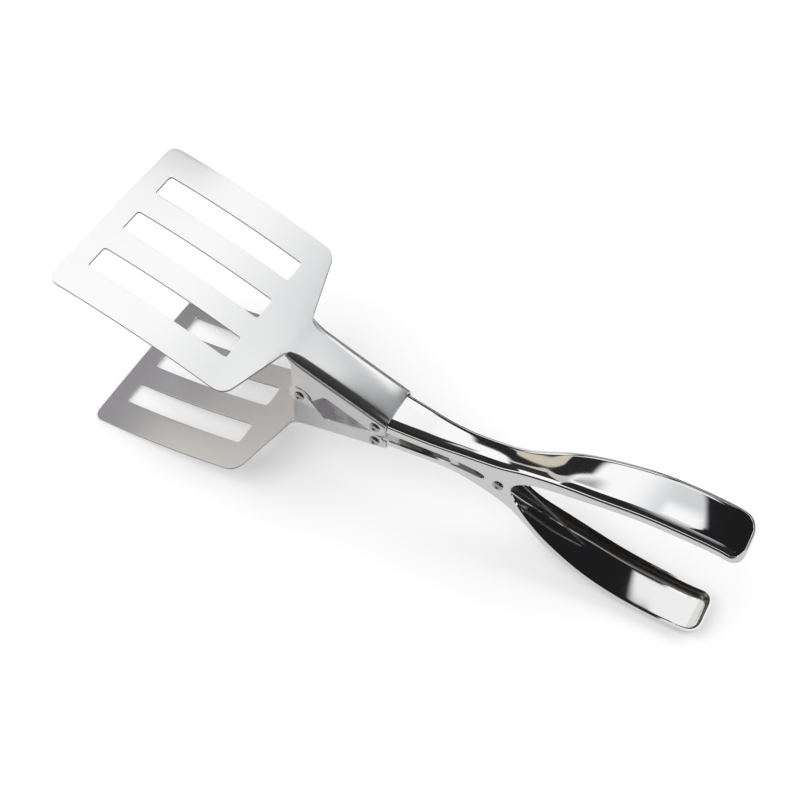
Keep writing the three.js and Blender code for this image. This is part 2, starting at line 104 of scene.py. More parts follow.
# handles: one stamped channel each, from link ears through a waist into the grip
HANDLE_SHEET = 0.9
GRIP_REACH = 102.5
GRIP_HALF = 11.5
CROWN_RISE = 40.6
UPPER_LIFT = 4.5
END_RADIUS = 5.8
END_RUN = 11.0
END_DROP = 5.0
HANDLE_SHOULDER = 4.0
CROWN_DOME = 0.5
FRONT_HALF = 10.4
UPPER_WAIST = 6.95
LOWER_WAIST = 5.69
WALL_RISE = 3.4
PIN_EAR = 6.0
PIN_EAR_BLEND = 12.0
PIN_HOLE = 2.1
LINK_EAR = 3.8
LINK_REACH = 58.9
LINK_RISE = 5.6
LINK_PIVOT = (LINK_REACH, LINK_RISE)
LOBE = LINK_RISE - SEAT_GAP / 2
RIVET_HOLE = 1.8
CROWN_END = 0.95 * LINK_REACH
# stations in front of the pin and behind it, as shares of (reach, widening, crown's rise)
FRONT_SHARES = [(1.1, 1.0, 0.25), (0.92, 0.97, 0.25), (0.68, 0.6, 0.247), (0.54, 0.36, 0.249),
                (0.34, 0.06, 0.281), (0.17, 0.0, 0.333)]
REAR_SHARES = [(0.0, 0.0, 0.4), (0.07, 0.0, 0.478), (0.13, 0.16, 0.558), (0.27, 0.6, 0.749),
               (0.43, 0.88, 0.88), (0.6, 0.98, 0.978), (0.76, 1.0, 1.0), (0.89, 0.97, 0.985),
               (1.0, 0.93, 0.94)]
# rim of the grip's side walls, as shares of (reach, rise)
RIM_SHARES = [(0.08, 0.2), (0.15, 0.375), (0.26, 0.54), (0.45, 0.73), (0.61, 0.82),
              (0.77, 0.845), (0.9, 0.83), (1.0, 0.77)]
FRONT_END = FRONT_SHARES[0][0] * LINK_REACH

# rivets and pin; their ends as (radius, depth under the crown): dimple, rim, brow, underside
RIVET_HEAD = 0.7
RIVET_SHANK = 1.5
PIN_SHANK = 1.8
TUBULAR_END = [(0.0, 0.34), (0.35, 0.38), (0.62, 0.52), (0.8, 0.62), (0.92, 0.55), (1.02, 0.34),
               (1.12, 0.13), (1.24, 0.02), (1.4, 0.0), (1.7, 0.02), (2.0, 0.08), (2.25, 0.19),
               (2.42, 0.34), (2.5, 0.5), (2.5, 0.62), (2.44, 0.7)]
PLAIN_END = [(0.0, 0.0), (0.7, 0.01), (1.4, 0.05), (1.9, 0.13), (2.25, 0.26), (2.45, 0.42),
             (2.5, 0.56), (2.44, 0.7)]

# torsion spring: radius of the wire and of the coil's middle line
WIRE = 0.42
COIL = 3.1
COIL_TURNS = 4
COIL_PITCH = 1.75
SPRING_REACH = 42.0

# reach over which a curve through stations is evened out
EVEN_REACH = 4.0

# how finely the forms are drawn: rows, stations, steps along curves, sides round an axis
WALL_ROWS = 4
ARC_ROWS = 14
CROWN_ROWS = 8
NECK_STATIONS = 8
TURN_STATIONS = 12
PLATE_SCORES = 60
SIDE_SCORES = 12
SIDE_SCORE_PITCH = 3.55
END_STATIONS = 14
GRIP_STATIONS = 92
FRONT_STATIONS = 48
EVEN_STEPS = 4
BEND_STEPS = 8
TIP_STEPS = 8
RIM_STEPS = 12
LINK_EAR_STEPS = 24
WIDE_EAR_STEPS = 32
BAR_SIDES = 48
DISH_SIDES = 96
RIVET_SIDES = 56
COIL_STEPS = 40
LEG_STEPS = 24
WIRE_SIDES = 14
WIRE_TIP_STEPS = 6
WIRE_TIP_ANGLE = math.radians(15)

# how far a blank runs past the piece that is cut from it
MARGIN = 2
SIDE_MARGIN = 4
CUT_LOW = -20
CUT_HIGH = 60

# points closer than these are joined: a form's own seams, and what the cuts left over
WELD = 0.001
CLEAN = 0.002
# slack for points on a grip's end, and for a score beside the plate's root
END_SLACK = 0.0001
SCORE_SLACK = 0.01

# edges from the first angle up get a rounded rim, and those from the second stay sharp
RIM_ANGLE = math.radians(50)
SMOOTH_ANGLE = math.radians(38)
FLAT_FACE_WEIGHT = 50


def add_camera():
    """The photograph's viewing angle."""
    back = CAMERA_BACK.normalized()
    right = (CAMERA_RIGHT - back * CAMERA_RIGHT.dot(back)).normalized()
    up = back.cross(right)
    turn = Matrix((right, up, back)).transposed().to_4x4()
    bpy.ops.object.camera_add()
    camera = bpy.context.object
    camera.name = "camera"
    camera.matrix_world = Matrix.Translation(CAMERA_PLACE) @ turn
    camera.data.lens = FOCAL_LENGTH
    camera.data.sensor_width = SENSOR_WIDTH
    camera.data.clip_start = CAMERA_CLIP
    bpy.context.scene.camera = camera


def clamp(value):
    """A value held between 0 and 1."""
    return min(max(value, 0), 1)


def arc(centre, radius, first, last, steps):
    """Points on a circle from one angle to another."""
    angles = [first + (last - first) * k / steps for k in range(steps + 1)]
    return [(centre[0] + radius * math.cos(a), centre[1] + radius * math.sin(a)) for a in angles]


def bend(start, corner, end):
    """Points on a quadratic curve from start to end, drawn towards a corner."""
    points = []
    for k in range(BEND_STEPS + 1):
        t = k / BEND_STEPS
        points.append(tuple((1 - t) ** 2 * a + 2 * t * (1 - t) * b + t * t * c
                            for a, b, c in zip(start, corner, end)))
    return points


def round_corner(before, corner, after, radius):
    """The bend that rounds a corner between the points before and after it."""
    corner = Vector(corner)
    start, end = [(Vector(spot) - corner).normalized() * radius + corner
                  for spot in (before, after)]
    return bend(start, corner, end)


def rounded(corners):
    """A closed outline with each corner (x, y, radius) rounded."""
    spots = []
    for k, (x, y, radius) in enumerate(corners):
        before, after = corners[k - 1][:2], corners[(k + 1) % len(corners)][:2]
        spots += round_corner(before, (x, y), after, radius) if radius else [(x, y)]
    return spots


def spline(points, steps):
    """Catmull-Rom curve through points, with its ends repeated."""
    spots = [points[0]]
    last = len(points) - 1
    for k in range(last):
        near_points = points[max(k - 1, 0)], points[k], points[k + 1], points[min(k + 2, last)]
        for i in range(1, steps + 1):
            t = i / steps
            spots.append(tuple(
                0.5 * (2 * q + (r - p) * t + (2 * p - 5 * q + 4 * r - s) * t * t
                       + (3 * q - p - 3 * r + s) * t ** 3)
                for p, q, r, s in zip(*near_points)))
    return spots


def curve_through(rows):
    """Smooth curve through rows of (x, value): cubic between rows, then evened out."""
    def slope(k):
        low, up = rows[max(k - 1, 0)], rows[min(k + 1, len(rows) - 1)]
        return (up[1] - low[1]) / (up[0] - low[0])

    def at(x):
        k = 0
        while k < len(rows) - 2 and x > rows[k + 1][0]:
            k += 1
        here, after = rows[k], rows[k + 1]
        span = after[0] - here[0]
        t = clamp((x - here[0]) / span)
        blend = t * t * (3 - 2 * t)
        return (here[1] * (1 - blend) + after[1] * blend + t * (1 - t) ** 2 * span * slope(k)
                - t * t * (1 - t) * span * slope(k + 1))

    first, last = rows[0][0], rows[-1][0]
    weights = [(k, EVEN_STEPS + 1 - abs(k)) for k in range(-EVEN_STEPS, EVEN_STEPS + 1)]
    whole = sum(weight for _, weight in weights)

    def even(x):
        room = min(EVEN_REACH, x - first, last - x)
        if room <= 0:
            return at(x)
        return sum(at(x + room * k / EVEN_STEPS) * weight for k, weight in weights) / whole
    return even


def handle_form(waist, lift):
    """Half width and crown height of a handle, as functions of x."""
    rows = []
    for reach, widen, rise in reversed(REAR_SHARES):
        rows.append((-reach * GRIP_REACH, waist + widen * (GRIP_HALF - waist),
                     rise * CROWN_RISE + lift * reach ** 2))
    for reach, widen, rise in reversed(FRONT_SHARES):
        rows.append((reach * LINK_REACH, waist + widen * (FRONT_HALF - waist),
                     rise * CROWN_RISE))
    width = curve_through([(x, w) for x, w, _ in rows])
    crown = curve_through([(x, c) for x, _, c in rows])
    return width, crown


def handle_blank(lift):
    """Side outline of a handle as (x, z): link ear, wall, pin ear, rim of the grip."""
    high = 2 * CROWN_RISE
    drop = math.asin((LINK_RISE - WALL_RISE) / LINK_EAR)
    rim = [(-PIN_EAR, WALL_RISE)]
    rim += [(-reach * GRIP_REACH, rise * CROWN_RISE + lift * reach ** 2)
            for reach, rise in RIM_SHARES]
    outline = [(FRONT_END, high), (FRONT_END, LINK_RISE)]
    outline += arc(LINK_PIVOT, LINK_EAR, 0, drop - math.pi, LINK_EAR_STEPS)
    outline += bend((PIN_EAR_BLEND, WALL_RISE), (PIN_EAR, WALL_RISE), (PIN_EAR, 0))
    outline += arc((0, 0), PIN_EAR, 0, -math.pi, WIDE_EAR_STEPS)[1:]
    outline += spline(rim, RIM_STEPS)
    outline += [(-GRIP_REACH - MARGIN, rim[-1][1]), (-GRIP_REACH - MARGIN, high)]
    return outline


def head_top(x):
    """Top line of a head: a straight neck that turns smoothly into the bowed plate."""
    past = x - PLATE_ROOT
    length = PLATE_TIP - PLATE_ROOT
    neck_slope = (ROOT_RISE - NECK_END_RISE) / (PLATE_ROOT - NECK_END)
    plate_slope = (TIP_RISE - ROOT_RISE + 4 * PLATE_BOW) / length
    in_turn = min(max(past + ROOT_TURN, 0), 2 * ROOT_TURN)
    turned_in = in_turn ** 2 / (4 * ROOT_TURN) + max(past - ROOT_TURN, 0)
    bow = 4 * PLATE_BOW * (max(past, 0) / length) ** 2
    return ROOT_RISE + neck_slope * past + (plate_slope - neck_slope) * turned_in - bow


def head_places():
    """Stations along a head: close together where the neck turns into the plate."""
    run = PLATE_FLARE - PLATE_ROOT + TURN_RUN_IN
    turn = [PLATE_ROOT - TURN_RUN_IN + k * run / TURN_STATIONS for k in range(TURN_STATIONS + 1)]
    neck = [NECK_END + k * (turn[0] - NECK_END) / NECK_STATIONS for k in range(NECK_STATIONS)]
    return [NECK_END - MARGIN] + neck + turn


def head_blank():
    """Side outline of a head as (x, z): neck end, link lobe, notch, head ear, front edge."""
    high = 2 * TIP_RISE
    (link_x, link_z), (notch_x, notch_z), (head_x, _) = LINK_PIVOT, NOTCH, HEAD_PIVOT
    rise = math.atan2(notch_z - link_z, notch_x - link_x)
    lean = rise - math.asin(LOBE / math.hypot(notch_x - link_x, notch_z - link_z))
    fall = math.atan2(notch_z, notch_x - head_x)
    tilt = fall + math.asin(HEAD_EAR / math.hypot(notch_z, notch_x - head_x))
    ear_start = (head_x - HEAD_EAR * math.sin(tilt), HEAD_EAR * math.cos(tilt))
    ear_end = math.acos((EAR_FRONT - head_x) / HEAD_EAR) + 2 * math.pi
    flare = head_top(PLATE_FLARE) - NECK_SHOULDER
    outline = [(NECK_END, high), (NECK_END, LINK_RISE)]
    outline += arc(LINK_PIVOT, LOBE, math.pi, 1.5 * math.pi + lean, LINK_EAR_STEPS)
    outline += round_corner(outline[-1], NOTCH, ear_start, NOTCH_RADIUS)
    outline += arc(HEAD_PIVOT, HEAD_EAR, tilt + math.pi / 2, ear_end, WIDE_EAR_STEPS)
    outline += bend((EAR_FRONT, flare - EAR_CORNER), (EAR_FRONT, flare),
                    (PLATE_FLARE, flare + EAR_CORNER))
    return outline + [(PLATE_FLARE, high)]


def arch(half, top, bottom, shoulder, dome):
    """Section of a channel as (y, z): near wall, shoulder, crown, shoulder, far wall."""
    radius = min(shoulder, half)
    points = [(half, bottom + (top - radius - bottom) * k / WALL_ROWS) for k in range(WALL_ROWS)]
    points += arc((half - radius, top - radius), radius, 0, math.pi / 2, ARC_ROWS)
    points += [((half - radius) * (1 - k / CROWN_ROWS), top) for k in range(1, CROWN_ROWS)]
    far = [(-y, z) for y, z in reversed(points)]
    return [(y, z - dome * (y / half) ** 2) if z > bottom else (y, z)
            for y, z in points + [(0, top)] + far]


def deselect():
    bpy.ops.object.select_all(action="DESELECT")


def use(piece):
    deselect()
    piece.select_set(True)
    bpy.context.view_layer.objects.active = piece


def edit(piece, *steps):
    """Runs edit-mode operators on the whole piece."""
    use(piece)
    bpy.ops.object.mode_set(mode="EDIT")
    bpy.ops.mesh.select_all(action="SELECT")
    for operator, settings in steps:
        operator(**settings)
    bpy.ops.object.mode_set(mode="OBJECT")


SELECT_ALL = (bpy.ops.mesh.select_all, {"action": "SELECT"})
SELECT_NONE = (bpy.ops.mesh.select_all, {"action": "DESELECT"})
JOIN_SEAMS = (bpy.ops.mesh.remove_doubles, {"threshold": WELD})
FACE_OUT = (bpy.ops.mesh.normals_make_consistent, {"inside": False})


def modify(piece, kind, **settings):
    """Adds a modifier and applies it."""
    use(piece)
    modifier = piece.modifiers.new(kind.lower(), kind)
    for key, value in settings.items():
        setattr(modifier, key, value)
    bpy.ops.object.modifier_apply(modifier=modifier.name)


def cut(piece, tool, operation="DIFFERENCE"):
    modify(piece, "BOOLEAN", object=tool, operation=operation, solver="EXACT")
    bpy.data.objects.remove(tool)


def prism(outline, place, push):
    """An outline, set in space by a function of its two coordinates, then extruded."""
    deselect()
    bpy.ops.mesh.primitive_circle_add(vertices=len(outline), fill_type="NGON")
    solid = bpy.context.object
    for vertex, spot in zip(solid.data.vertices, outline):
        vertex.co = place(*spot)
    extrude = (bpy.ops.mesh.extrude_region_move, {"TRANSFORM_OT_translate": {"value": push}})
    edit(solid, extrude, SELECT_ALL, FACE_OUT)
    return solid


def side_prism(outline, reach):
    """A side outline in x and z, extruded across y."""
    return prism(outline, lambda x, z: (x, -reach, z), (0, 2 * reach, 0))


def flat_slab(outline, low, high):
    """An outline in x and y, extruded up z."""
    return prism(outline, lambda x, y: (x, y, low), (0, 0, high - low))


def cross_bar(pivot, radius, low, high, sides=BAR_SIDES):
    """A round bar across y."""
    deselect()
    bpy.ops.mesh.primitive_cylinder_add(vertices=sides, radius=radius, depth=high - low,
                                        location=(pivot[0], (low + high) / 2, pivot[1]),
                                        rotation=(math.pi / 2, 0, 0))
    bar = bpy.context.object
    bpy.ops.object.transform_apply(location=True, rotation=True, scale=True)
    return bar


def both_sides(inner, outer):
    """What lies between two distances from the middle, as (low, high): far side, near side."""
    return (-outer, -inner), (inner, outer)


def skin_of(name, rows):
    """A grid drawn over rows of points."""
    along, across = len(rows) - 1, len(rows[0]) - 1
    deselect()
    bpy.ops.mesh.primitive_grid_add(x_subdivisions=along, y_subdivisions=across, size=1)
    skin = bpy.context.object
    skin.name = name
    for vertex in skin.data.vertices:
        i = round((vertex.co.x + 0.5) * along)
        j = round((vertex.co.y + 0.5) * across)
        vertex.co = rows[i][j]
    return skin


def thicken(skin, sheet):
    """Turns a skin's crown to look up and gives it the sheet's thickness inwards."""
    edit(skin, FACE_OUT)
    top = max(skin.data.polygons, key=lambda face: face.center.z)
    if top.normal.z < 0:
        edit(skin, (bpy.ops.mesh.flip_normals, {}))
    modify(skin, "SOLIDIFY", thickness=sheet, offset=-1, use_even_offset=True)


def plate_blank(name):
    """The slotted plate: cut flat, its rims rounded, scored into strips, pressed to its bow."""
    root_half = NECK_HALF - NECK_SHOULDER
    front = PLATE_TIP - TIP_BOW
    tip = [(PLATE_TIP - TIP_BOW * (k / TIP_STEPS) ** 2, PLATE_HALF * k / TIP_STEPS, 0)
           for k in range(1 - TIP_STEPS, TIP_STEPS)]
    outline = rounded([
        (PLATE_ROOT, -root_half, 0), (PLATE_FLARE, -NECK_HALF, 0),
        (PLATE_SHOULDER, -PLATE_HALF, SHOULDER_RADIUS), (front, -PLATE_HALF, TIP_RADIUS), *tip,
        (front, PLATE_HALF, TIP_RADIUS), (PLATE_SHOULDER, PLATE_HALF, SHOULDER_RADIUS),
        (PLATE_FLARE, NECK_HALF, 0), (PLATE_ROOT, root_half, 0)])
    plate = flat_slab(outline, -HEAD_SHEET, 0)
    plate.name = name
    for middle in (-SLOT_PITCH, 0, SLOT_PITCH):
        low, up = middle - SLOT_WIDTH / 2, middle + SLOT_WIDTH / 2
        slot = rounded([(SLOT_START, low, SLOT_RADIUS), (SLOT_END, low, SLOT_RADIUS),
                        (SLOT_END, up, SLOT_RADIUS), (SLOT_START, up, SLOT_RADIUS)])
        cut(plate, flat_slab(slot, -2 * HEAD_SHEET, HEAD_SHEET))
    modify(plate, "BEVEL", width=PLATE_RIM, segments=2, limit_method="ANGLE",
           angle_limit=RIM_ANGLE, use_clamp_overlap=True)
    scores = [x for x in head_places() if x > PLATE_ROOT + SCORE_SLACK]
    scores += [PLATE_FLARE + (PLATE_TIP - PLATE_FLARE) * k / PLATE_SCORES
               for k in range(1, PLATE_SCORES)]
    lines = [((x, 0, 0), (1, 0, 0)) for x in scores]
    lines += [((0, SIDE_SCORE_PITCH * k, 0), (0, 1, 0))
              for k in range(-SIDE_SCORES, SIDE_SCORES + 1)]
    for place, across in lines:
        edit(plate, (bpy.ops.mesh.bisect, {"plane_co": place, "plane_no": across}))
    for vertex in plate.data.vertices:
        vertex.co.z += head_top(vertex.co.x)
    return plate


def head(name, dished):
    """A head: neck channel, ears dished or plain, plate and rivet holes."""
    rows = []
    straight = PLATE_ROOT - NECK_SHOULDER
    for x in head_places():
        opened = clamp((x - straight) / (PLATE_FLARE - straight))
        shoulder = NECK_SHOULDER + (NECK_MOUTH_SHOULDER - NECK_SHOULDER) * opened ** 2
        dome = NECK_DOME * (1 - clamp((x - straight + NECK_DOME_FADE) / NECK_DOME_FADE))
        section = arch(NECK_HALF, head_top(x), -HEAD_EAR - MARGIN, shoulder, dome)
        rows.append([(x, *spot) for spot in section])
    neck = skin_of(name, rows)
    thicken(neck, HEAD_SHEET)
    inner = NECK_HALF - HEAD_SHEET
    step = HEAD_SHEET + SEAT_GAP
    reach = NECK_HALF + SIDE_MARGIN
    if dished:
        bosses = both_sides(inner - step, NECK_HALF - HEAD_SHEET / 2)
        for boss, hollow in zip(bosses, both_sides(inner - SEAT_GAP, reach)):
            boss_bar = cross_bar(HEAD_PIVOT, DISH_RADIUS + HEAD_SHEET, *boss, DISH_SIDES)
            cut(neck, boss_bar, "UNION")
            cut(neck, cross_bar(HEAD_PIVOT, DISH_RADIUS, *hollow, DISH_SIDES))
    cut(neck, side_prism(head_blank(), reach), "INTERSECT")
    cut(neck, plate_blank(name + "_plate"), "UNION")
    for low, high in both_sides(inner - 2 * step, reach):
        cut(neck, cross_bar(HEAD_PIVOT, RIVET_HOLE if dished else HEAD_RIVET_HOLE, low, high))
        cut(neck, cross_bar(LINK_PIVOT, RIVET_HOLE, low, high))
    return neck


def close_end(skin, end):
    """Fills the open end of a grip's skin with one face."""
    edit(skin, SELECT_NONE)
    for edge in skin.data.edges:
        edge.select = all(skin.data.vertices[k].co.x < end + END_SLACK
                          for k in edge.vertices)
    use(skin)
    bpy.ops.object.mode_set(mode="EDIT")
    bpy.ops.mesh.select_mode(type="EDGE")
    bpy.ops.mesh.edge_face_add()
    bpy.ops.object.mode_set(mode="OBJECT")
    edit(skin, JOIN_SEAMS)


def handle(name, waist, lift):
    """A handle: closed channel, thickness, side outline, open front, ears and holes."""
    width, crown = handle_form(waist, lift)
    end = -GRIP_REACH
    grip = end + END_RUN
    places = [end + END_RUN * (1 - math.cos(math.pi / 2 * k / END_STATIONS))
              for k in range(END_STATIONS + 1)]
    places += [grip * (1 - k / GRIP_STATIONS) for k in range(1, GRIP_STATIONS + 1)]
    places += [FRONT_END * k / FRONT_STATIONS for k in range(1, FRONT_STATIONS + 1)]
    rows = []
    for x in places:
        near_end = END_RADIUS - min(x - end, END_RADIUS)
        draw_in = END_RADIUS - math.sqrt(END_RADIUS ** 2 - near_end ** 2)
        close = 1 - min((x - end) / END_RUN, 1)
        drop = END_DROP * (1 - math.sqrt(1 - close ** 2))
        section = arch(width(x) - draw_in, crown(x) - drop, -PIN_EAR - MARGIN,
                       HANDLE_SHOULDER, CROWN_DOME)
        rows.append([(x, *spot) for spot in section])
    skin = skin_of(name, rows)
    close_end(skin, end)
    thicken(skin, HANDLE_SHEET)
    reach = GRIP_HALF + SIDE_MARGIN
    cut(skin, side_prism(handle_blank(lift), reach), "INTERSECT")
    front = FRONT_END + MARGIN
    cut(skin, side_prism([(CROWN_END, CUT_LOW), (front, CUT_LOW), (front, CUT_HIGH),
                          (CROWN_END, CUT_HIGH)], reach))
    for low, high in both_sides(FRONT_HALF - HANDLE_SHEET, FRONT_HALF):
        cut(skin, cross_bar(LINK_PIVOT, LINK_EAR, low, high), "UNION")
    cut(skin, cross_bar(LINK_PIVOT, RIVET_HOLE, -reach, reach))
    cut(skin, cross_bar((0, 0), PIN_HOLE, -reach, reach))
    return skin


def turned(name, pivot, low, high, shank, low_end, high_end):
    """A rivet across y: its profile, spun round the pivot between two seats."""
    profile = [(r, low - RIVET_HEAD + depth) for r, depth in low_end]
    profile += [(shank, low), (shank, high)]
    profile += [(r, high + RIVET_HEAD - depth) for r, depth in reversed(high_end)]
    rows = []
    for k in range(RIVET_SIDES + 1):
        angle = 2 * math.pi * k / RIVET_SIDES
        rows.append([(pivot[0] + r * math.cos(angle), y, pivot[1] + r * math.sin(angle))
                     for r, y in profile])
    rivet = skin_of(name, rows)
    edit(rivet, JOIN_SEAMS, FACE_OUT)
    return rivet


def spring_path():
    """Middle line of the spring, leg, coil and leg, and the coil's width."""
    _, crown = handle_form(LOWER_WAIST, 0)
    tip_rise = crown(-SPRING_REACH) - HANDLE_SHEET - CROWN_DOME - SEAT_GAP - 2 * WIRE
    tip_distance = math.hypot(SPRING_REACH, tip_rise)
    touch = math.atan2(tip_rise, -SPRING_REACH) - math.acos(COIL / tip_distance)
    turn = 2 * touch + 2 * math.pi * COIL_TURNS
    width = COIL_PITCH * turn / (2 * math.pi)
    coil = []
    steps = COIL_STEPS * COIL_TURNS
    for k in range(steps + 1):
        angle = -touch + turn * k / steps
        coil.append(Vector((COIL * math.cos(angle), -width / 2 + width * k / steps,
                            COIL * math.sin(angle))))
    low_tip = Vector((-SPRING_REACH, -width / 2, -tip_rise))
    high_tip = Vector((-SPRING_REACH, width / 2, tip_rise))
    path = [low_tip.lerp(coil[0], k / LEG_STEPS) for k in range(LEG_STEPS)] + coil
    path += [coil[-1].lerp(high_tip, k / LEG_STEPS) for k in range(1, LEG_STEPS + 1)]
    return path, width


def spring(name):
    """The torsion spring, one wire with rounded tips, and half the width of its coil."""
    path, width = spring_path()
    first, last = path[0], path[-1]
    leaving, arriving = (path[1] - first).normalized(), (last - path[-2]).normalized()
    rounding = [WIRE_TIP_ANGLE * k for k in range(WIRE_TIP_STEPS)]
    run = [(first + leaving * WIRE * (1 - math.cos(a)), WIRE * math.sin(a)) for a in rounding]
    run += [(spot, WIRE) for spot in path
            if (spot - first).length > WIRE and (spot - last).length > WIRE]
    run += [(last - arriving * WIRE * (1 - math.cos(a)), WIRE * math.sin(a))
            for a in reversed(rounding)]
    ring = [2 * math.pi * j / WIRE_SIDES for j in range(WIRE_SIDES + 1)]
    rows = []
    side = Vector((0, 1, 0))
    for k, (spot, radius) in enumerate(run):
        along = (run[min(k + 1, len(run) - 1)][0] - run[max(k - 1, 0)][0]).normalized()
        side = (side - along * side.dot(along)).normalized()
        over = along.cross(side)
        rows.append([spot + radius * (side * math.cos(a) + over * math.sin(a)) for a in ring])
    wire = skin_of(name, rows)
    edit(wire, JOIN_SEAMS, FACE_OUT)
    return wire, width / 2 - WIRE


def linkage_matrix():
    """From the linkage frame in millimetres to the row's frame in metres."""
    pivots = {joint["name"]: Vector(joint["pos_m"]) for joint in frame["joints"]}
    pin = pivots["handle_squeeze"]
    upper, lower = pivots["upper_head_pivot"], pivots["lower_head_pivot"]
    ahead = ((upper + lower) / 2 - pin).normalized()
    up = (upper - lower).normalized()
    across = up.cross(ahead)
    turn = Matrix((ahead, across, up)).transposed().to_4x4()
    return Matrix.Translation(pin) @ turn @ Matrix.Scale(MM, 4)


LINKAGE = linkage_matrix()


def settle(piece, turned_over=False):
    """Sets a piece from the linkage frame into the row's and evens its shading."""
    edit(piece, (bpy.ops.mesh.remove_doubles, {"threshold": CLEAN}),
         (bpy.ops.mesh.dissolve_degenerate, {"threshold": CLEAN}))
    if turned_over:
        piece.data.transform(Matrix.Diagonal((1, 1, -1, 1)))
        piece.data.flip_normals()
    piece.data.transform(LINKAGE)
    use(piece)
    bpy.ops.object.shade_smooth_by_angle(angle=SMOOTH_ANGLE)
    modify(piece, "WEIGHTED_NORMAL", mode="FACE_AREA", weight=FLAT_FACE_WEIGHT, keep_sharp=True)


class Field:
    """A shader socket with the operators used in the finishes."""

    def __init__(self, shop, socket):
        self.shop = shop
        self.socket = socket

    def maths(self, operation, *values):
        return self.shop.node("ShaderNodeMath", {"operation": operation}, *values)[0]

    def __add__(self, other):
        return self.maths("ADD", self, other)

    __radd__ = __add__

    def __rsub__(self, other):
        return self.maths("SUBTRACT", other, self)

    def __mul__(self, other):
        return self.maths("MULTIPLY", self, other)

    __rmul__ = __mul__

    def __abs__(self):
        return self.maths("ABSOLUTE", self)

    def ramp(self, low, high):
        """Smooth step from 0 at low to 1 at high."""
        settings = {"interpolation_type": "SMOOTHSTEP"}
        return self.shop.node("ShaderNodeMapRange", settings, self, low, high)[0]


# sockets of the mix node for colours
MIX_SHARE, MIX_LOW, MIX_HIGH, MIX_RESULT = 0, 6, 7, 2


class Shop:
    """A material under work: nodes are made by one method, settings first and sockets after."""

    def __init__(self, name):
        self.material = bpy.data.materials.new(name)
        self.material.use_nodes = True
        self.tree = self.material.node_tree
        self.shader = self.tree.nodes["Principled BSDF"]

    def set(self, node, key, value):
        if isinstance(value, Field):
            self.tree.links.new(value.socket, node.inputs[key])
        else:
            node.inputs[key].default_value = value

    def node(self, kind, settings, *values, **named):
        node = self.tree.nodes.new(kind)
        for key, value in settings.items():
            setattr(node, key, value)
        for i, value in enumerate(values):
            self.set(node, i, value)
        for key, value in named.items():
            self.set(node, key.replace("_", " "), value)
        return [Field(self, socket) for socket in node.outputs]

    def coordinates(self, kind):
        node = self.tree.nodes.new("ShaderNodeTexCoord")
        return Field(self, node.outputs[kind])

    def parts(self, kind):
        """x, y and z of a kind of coordinates."""
        return self.node("ShaderNodeSeparateXYZ", {}, self.coordinates(kind))

    def grain(self, size, detail=2.0, roughness=0.5):
        """Noise with grains of a size along each axis."""
        scale = tuple(1 / length for length in size)
        place = self.node("ShaderNodeVectorMath", {"operation": "MULTIPLY"},
                          self.coordinates("Object"), scale)[0]
        return self.node("ShaderNodeTexNoise", {"noise_dimensions": "3D"}, Vector=place,
                         Scale=1.0, Detail=detail, Roughness=roughness)[0]

    def mix(self, share, low, high):
        """Colour that goes from low to high with a share."""
        node = self.tree.nodes.new("ShaderNodeMix")
        node.data_type = "RGBA"
        self.set(node, MIX_SHARE, share)
        self.set(node, MIX_LOW, low)
        self.set(node, MIX_HIGH, high)
        return Field(self, node.outputs[MIX_RESULT])

    def bump(self, height, strength, distance):
        return self.node("ShaderNodeBump", {}, Strength=strength, Distance=distance,
                         Height=height)[0]

    def finish(self, **named):
        for key, value in named.items():
            self.set(self.shader, key.replace("_", " "), value)
        return self.material


def satin_steel():
    """Heads: fine brushing and faint clouding; painted shade darkens the sheared edges and the
    neck walls.
    """
    shop = Shop("satin_steel")
    brushing = shop.grain((24 * MM, 0.22 * MM, 0.4 * MM), 3.0, 0.6)
    cloud = shop.grain((38 * MM, 30 * MM, 30 * MM), 2.0)
    tone = shop.mix(cloud, (0.93, 0.93, 0.93, 1), (0.97, 0.97, 0.97, 1))
    _, sideways, upright = shop.parts("Normal")
    reach, _, rise = shop.parts("Object")
    plate = reach.ramp(-52 * MM, -56 * MM)
    # painted shade: on the plate, cut-edge faces that don't look up get a dark colour; they are
    # also rougher
    sheared_and_shaded = abs(upright).ramp(0.75, 0.35) * plate
    tone = shop.mix(sheared_and_shaded, tone, (0.34, 0.34, 0.35, 1))
    # painted shade: the neck walls are darker in colour, and on the lower head darker still
    # towards the plate
    wall_shade_to_plate = rise.ramp(48 * MM, 43 * MM) * reach.ramp(-20 * MM, -58 * MM)
    shaded_wall_tone = shop.mix(wall_shade_to_plate, (0.82, 0.82, 0.83, 1), (0.50, 0.50, 0.51, 1))
    wall = abs(sideways).ramp(0.6, 0.95) * (1.0 - plate)
    tone = shop.mix(wall, tone, shaded_wall_tone)
    rough = 0.19 + 0.05 * brushing + 0.04 * cloud + 0.2 * sheared_and_shaded
    metallic = 1.0 - plate * (0.12 + 0.10 * upright.ramp(0.0, -0.3))
    return shop.finish(Base_Color=tone, Metallic=metallic, Roughness=rough,
                       Normal=shop.bump(brushing, 0.12, 0.02 * MM))


def polished_steel():
    """Handles: mirror polish, a faint ripple, a few hairlines and a duller inside darkened by
    painted shade.
    """
    shop = Shop("polished_steel")
    ripple = shop.grain((26 * MM, 9 * MM, 9 * MM), 1.0)
    hairline = shop.grain((18 * MM, 0.3 * MM, 0.3 * MM), 2.0, 0.7)
    tone = shop.mix(hairline, (0.91, 0.91, 0.915, 1), (0.96, 0.96, 0.96, 1))
    facing = shop.parts("Normal")[1]
    across = shop.parts("Object")[1]
    # painted shade: the handles' inner walls get a dark brownish colour; they are also rougher
    inside = (facing * across).ramp(-1 * MM, -4 * MM)
    tone = shop.mix(inside, tone, (0.37, 0.35, 0.325, 1))
    rough = 0.045 + 0.05 * hairline.ramp(0.5, 0.8) + 0.24 * inside
    return shop.finish(Base_Color=tone, Metallic=1.0, Roughness=rough,
                       Normal=shop.bump(ripple, 0.10, 0.15 * MM))


